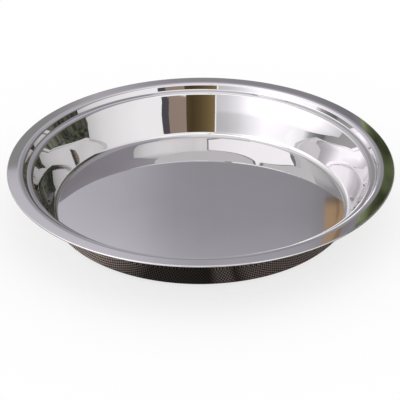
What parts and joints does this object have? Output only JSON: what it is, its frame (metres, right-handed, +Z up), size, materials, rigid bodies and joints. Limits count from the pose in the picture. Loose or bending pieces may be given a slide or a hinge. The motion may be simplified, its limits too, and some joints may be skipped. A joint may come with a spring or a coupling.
{
  "type": "dough kneading plate",
  "caption": "Round shallow kneading plate of polished stainless sheet, with a flat floor, flared side wall, narrow ledge and a flat rim with a folded edge.",
  "frame": {"origin": "centre of the underside of the floor, where the plate stands on the table", "axes": "+Z up along the plate's axis, towards the open side; X and Y lie in the table and are alike"},
  "size_m": [0.3599, 0.36, 0.0462],
  "materials": {
    "polished_steel": "polished"
  },
  "bodies": {
    "root": {"floor": "polished_steel", "side_wall": "polished_steel", "rim_step": "polished_steel", "rim_flange": "polished_steel", "rim_hem": "polished_steel"}
  },
  "joints": []
}
